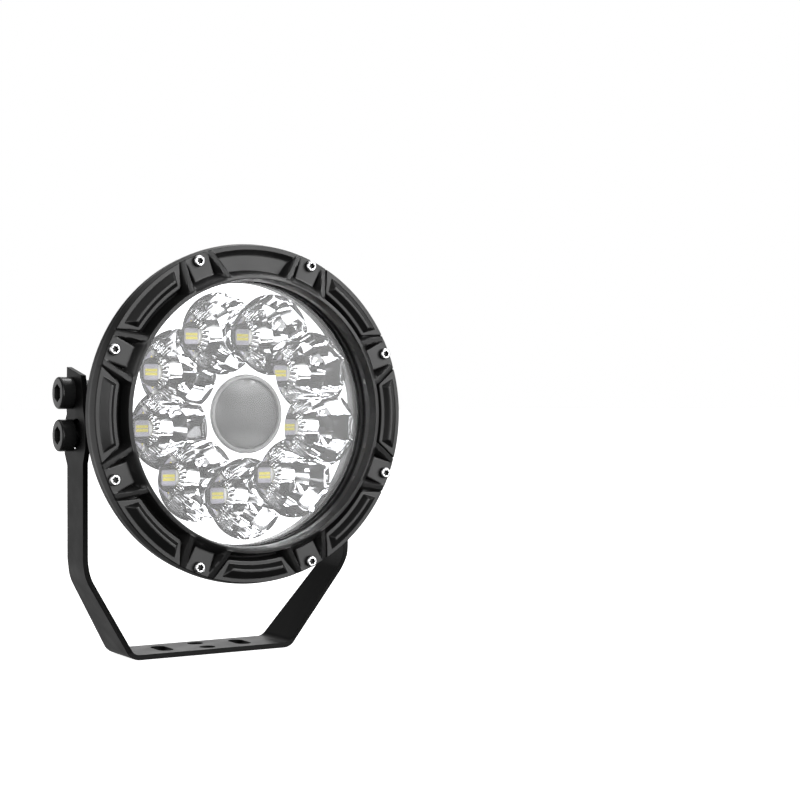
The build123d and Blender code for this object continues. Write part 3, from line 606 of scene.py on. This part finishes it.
def lobe(sign):
    """Outline of the bowls' mouths, on the far side of the ring (1) or the near side (-1)."""
    def outline(t):
        half = BOWL_SPAN / 2
        o = np.radians((np.degrees(t) + 90 + half) % BOWL_SPAN - half)
        return BOWL_CIRCLE * np.cos(o) + sign * np.sqrt(MOUTH_R ** 2 - (BOWL_CIRCLE * np.sin(o)) ** 2)
    return outline


def constant(value):
    return lambda t: np.full_like(t, value)


def make_reflector():
    angles, rows, borders = bowl_grid()
    joined = bmesh.new()
    for index in range(BOWLS):
        bm = make_bowl(index, angles, rows, borders)
        part = bpy.data.meshes.new("bowl")
        bm.to_mesh(part)
        bm.free()
        joined.from_mesh(part)
        bpy.data.meshes.remove(part)
    strips = [
        (constant(COLLAR_HOLE_R), lobe(-1), MOUTH_DEPTH, MOUTH_DEPTH),
        (lobe(1), constant(PLATE_R), MOUTH_DEPTH, MOUTH_DEPTH),
        (constant(COLLAR_HOLE_R), constant(COLLAR_HOLE_R), COLLAR_HOLE_DEPTH, MOUTH_DEPTH),
    ]
    for strip in strips:
        first, second = plate_strip(*strip)
        points = to_row(np.concatenate([first, second]))
        verts = [joined.verts.new(tuple(p)) for p in points]
        for f in grid_faces(2, len(first)):
            joined.faces.new([verts[i] for i in f]).smooth = True
    mesh = bpy.data.meshes.new("reflector_shell")
    joined.to_mesh(mesh)
    joined.free()
    add_object("reflector_shell", mesh, MIRROR, "lamp", ["reflector"])


# ---- middle lens and light sources -----------------------------------------------------------------------
def turned(name, profile, finish, replaced, count=128, shape=None):
    """A turned piece from (radius, depth) points; shape may scale the radius by bearing and step."""
    loops = []
    for step, (r, d) in enumerate(profile):
        scale = (lambda t, s=step: shape(t, s)) if shape else None
        loops.append(ring_points((0, 0), r, d, count, scale))
    p, f = loops_mesh(loops, cap_first=profile[0][0] < 0.5, cap_last=profile[-1][0] < 0.5)
    add_object(name, mesh_from(name, p, f, 35), finish, "lamp", replaced)


def make_centre_lens():
    top, edge_depth, rear, radius, steps, tip_r = 11.5, 14.0, 17.0, 17.6, 24, 0.02
    dome_r = (radius ** 2 + (edge_depth - top) ** 2) / (2 * (edge_depth - top))
    profile = [(tip_r, top)]
    for k in range(1, steps + 1):
        r = radius * k / steps
        profile.append((r, top + dome_r - math.sqrt(dome_r ** 2 - r ** 2)))
    profile += [(radius, 14.3), (radius, rear), (tip_r, rear)]
    turned("centre_dome", profile, SMOKED, ["centre_lens"])

    def notched(t, step):
        """Eight small notches in the collar's front edge."""
        bite = 0.012 * ease((np.abs((np.degrees(t) % 45) - 22.5) - 20.6) / 0.8)
        return 1 - bite * (2 <= step <= 4)

    profile = [(17.75, rear), (17.8, 12.9), (18.0, 12.5), (18.9, 12.4), (19.3, 12.6), (19.45, 13.1),
               (19.5, 13.7), (20.0, 13.8), (20.0, 16.9)]
    turned("centre_collar", profile, COLLAR, ["centre_lens_ring"], count=360, shape=notched)


def make_spacers():
    """Black frames round the light sources, open towards the lamp's right, where the flutes start."""
    count, half_width, corner_r = 47, 4.1, 5.3
    steps = np.radians(np.linspace(42, 318, count))
    square = half_width / np.maximum(np.abs(np.cos(steps)), np.abs(np.sin(steps)))
    rings = [(np.minimum(square, corner_r), 47.6), (5.75, 47.55), (6.4, 46.9), (7.3, 45.85)]
    points, faces = [], []
    for index in range(BOWLS):
        cx, cy = bowl_centre(index)
        base = sum(len(p) for p in points)
        for r, d in rings:
            points.append(np.stack([cx + r * np.cos(steps), cy + r * np.sin(steps), np.full(count, d)], 1))
        faces += [tuple(base + i for i in f) for f in grid_faces(len(rings), count, closed=False)]
    mesh = mesh_from("led_spacers", np.concatenate(points), faces, 40)
    add_object("led_spacers", mesh, SILICONE, "lamp", [])


def polished(node, width_mm, finish, body="lamp"):
    """A copy of a CAD node with its edges rounded."""
    sharp_angle = 28
    mesh = NODES[node].data.copy()
    bm = bmesh.new()
    bm.from_mesh(mesh)
    bmesh.ops.remove_doubles(bm, verts=bm.verts, dist=5e-6)
    bmesh.ops.dissolve_limit(bm, angle_limit=math.radians(0.6), verts=bm.verts, edges=bm.edges)
    bm.to_mesh(mesh)
    bm.free()
    shade_smooth(mesh, sharp_angle)
    piece = add_object(node + "_finished", mesh, finish, body, [node])
    bevel = piece.modifiers.new("rounded_edges", "BEVEL")
    bevel.width = width_mm * MM
    bevel.segments = 2
    bevel.limit_method = "ANGLE"
    bevel.angle_limit = math.radians(sharp_angle)
    bevel.harden_normals = True


make_bezel()
make_screws()
make_reflector()
make_centre_lens()
make_spacers()
polished("led_packages", 0.12, PACKAGE)
polished("led_emitters", 0.06, PHOSPHOR)
polished("bracket", 0.5, BRACKET_BLACK, body="bracket")
polished("pivot_bolts", 0.25, BOLT_BLACK)
polished("lock_bolts", 0.25, BOLT_BLACK)

for node, finish in {
    "front_lens": GLASS, "lens_gasket": SILICONE, "lens_seal": SILICONE, "position_led": PHOSPHOR,
    "led_board": BOARD_WHITE, "led_board_screws": STAINLESS, "thermal_pad": GAP_PAD,
    "driver_board": BOARD_GREEN, "driver_screws": STAINLESS, "driver_inductor": FERRITE,
    "driver_capacitors": CAN, "driver_chips": PLASTIC, "board_header": PLASTIC, "supply_terminals": PLASTIC,
    "housing": HOUSING_BLACK, "breather_vent": PLASTIC, "gland_body": PLASTIC, "gland_seal": SILICONE,
    "gland_nut": PLASTIC,
}.items():
    NODES[node].data.materials.clear()
    NODES[node].data.materials.append(finish)


# ---- stage -----------------------------------------------------------------------------------------------
def make_floor():
    """A plain white floor that casts no light or reflection on the lamp."""
    half = 30
    mesh = bpy.data.meshes.new("floor")
    corners = [(-half, -half, 0), (half, -half, 0), (half, half, 0), (-half, half, 0)]
    mesh.from_pydata(corners, [], [(0, 1, 2, 3)])
    floor = bpy.data.objects.new("floor", mesh)
    bpy.context.scene.collection.objects.link(floor)
    pale = material("floor_white", (0.86, 0.86, 0.86), 0.9, Specular_IOR_Level=0.0,
                    Emission_Color=(1, 1, 1, 1), Emission_Strength=0.97)
    mesh.materials.append(pale)
    floor.visible_glossy = False
    floor.visible_diffuse = False
    floor.visible_transmission = False


# soft glows of the room: direction, angle of full strength, angle where it ends, radiance
ROOM_RADIANCE = 0.015
GLOWS = [
    ((0.58, -0.80, 0.14), 6, 28, 3.1),
    ((0.10, -0.99, 0.02), 2, 13, 1.8),
    ((-0.50, 0.86, -0.06), 10, 34, 0.85),
    ((0.05, 0.87, -0.50), 8, 30, 0.5),
    ((0.50, 0.84, 0.17), 8, 26, 1.6),
    ((-0.99, -0.12, 0.1), 8, 26, 0.35),
    ((0.2, 0.3, 1.0), 10, 50, 0.9),
    ((0.90, 0.30, 0.25), 6, 30, 0.6),
    ((0.25, -0.95, 0.45), 2, 14, 0.9),
    ((-0.35, -0.95, -0.25), 2, 16, 0.6),
]


def make_world():
    """White for the camera; elsewhere a dark room with soft glows."""
    world = bpy.data.worlds.new("studio")
    bpy.context.scene.world = world
    world.use_nodes = True
    nodes, links = world.node_tree.nodes, world.node_tree.links
    nodes.clear()
    coords = nodes.new("ShaderNodeTexCoord")
    total = None
    for direction, full, end, radiance in GLOWS:
        dot = nodes.new("ShaderNodeVectorMath")
        dot.operation = "DOT_PRODUCT"
        dot.inputs[1].default_value = Vector(direction).normalized()
        links.new(coords.outputs["Generated"], dot.inputs[0])
        glow = nodes.new("ShaderNodeMapRange")
        glow.interpolation_type = "SMOOTHSTEP"
        glow.inputs["From Min"].default_value = math.cos(math.radians(end))
        glow.inputs["From Max"].default_value = math.cos(math.radians(full))
        glow.inputs["To Max"].default_value = radiance
        links.new(dot.outputs["Value"], glow.inputs["Value"])
        add = nodes.new("ShaderNodeMath")
        add.operation = "ADD"
        links.new(glow.outputs["Result"], add.inputs[0])
        add.inputs[1].default_value = ROOM_RADIANCE
        if total:
            links.new(total, add.inputs[1])
        total = add.outputs["Value"]
    path = nodes.new("ShaderNodeLightPath")
    white = nodes.new("ShaderNodeBackground")
    white.inputs["Color"].default_value = (1, 1, 1, 1)
    room = nodes.new("ShaderNodeBackground")
    links.new(total, room.inputs["Strength"])
    room.inputs["Color"].default_value = (1, 1, 1, 1)
    mix = nodes.new("ShaderNodeMixShader")
    output = nodes.new("ShaderNodeOutputWorld")
    links.new(path.outputs["Is Camera Ray"], mix.inputs["Fac"])
    links.new(room.outputs["Background"], mix.inputs[1])
    links.new(white.outputs["Background"], mix.inputs[2])
    links.new(mix.outputs["Shader"], output.inputs["Surface"])


TARGET = Vector((0, FRONT_Y + 0.02, AXIS_Z))


def softbox(name, direction, distance, width, height, radiance):
    """A rectangular light of an even radiance that faces the lamp."""
    data = bpy.data.lights.new(name, "AREA")
    data.shape = "RECTANGLE"
    data.size, data.size_y = width, height
    data.energy = radiance * math.pi * width * height
    light = bpy.data.objects.new(name, data)
    bpy.context.scene.collection.objects.link(light)
    away = Vector(direction).normalized()
    light.location = TARGET + away * distance
    light.rotation_euler = (-away).to_track_quat("-Z", "Y").to_euler()


def make_lights():
    softbox("strip_high", (0.50, -0.80, 0.46), 1.6, 1.2, 0.10, 18.0)
    softbox("strip_low", (0.50, -0.80, -0.40), 1.6, 1.3, 0.09, 13.0)
    softbox("strip_left", (-0.22, -0.97, 0.05), 1.6, 0.10, 1.0, 16.0)
    softbox("fill_left_front", (-0.80, -0.60, 0.20), 1.8, 0.35, 1.4, 4.2)
    softbox("overhead", (0.45, 0.22, 0.87), 1.4, 0.8, 0.5, 6.0)


def make_camera():
    data = bpy.data.cameras.new("photo_camera")
    data.sensor_width, data.lens = 36, 74.2185
    data.clip_start, data.clip_end = 0.02, 100
    camera = bpy.data.objects.new("photo_camera", data)
    bpy.context.scene.collection.objects.link(camera)
    camera.location = (-0.369603, FRONT_Y - 0.735237, AXIS_Z + 0.004698)
    camera.rotation_euler = (math.radians(90.149), math.radians(0.093), math.radians(-31.627))
    bpy.context.scene.camera = camera


make_floor()
make_world()
make_lights()
make_camera()
bpy.context.scene.view_settings.view_transform = "Standard"
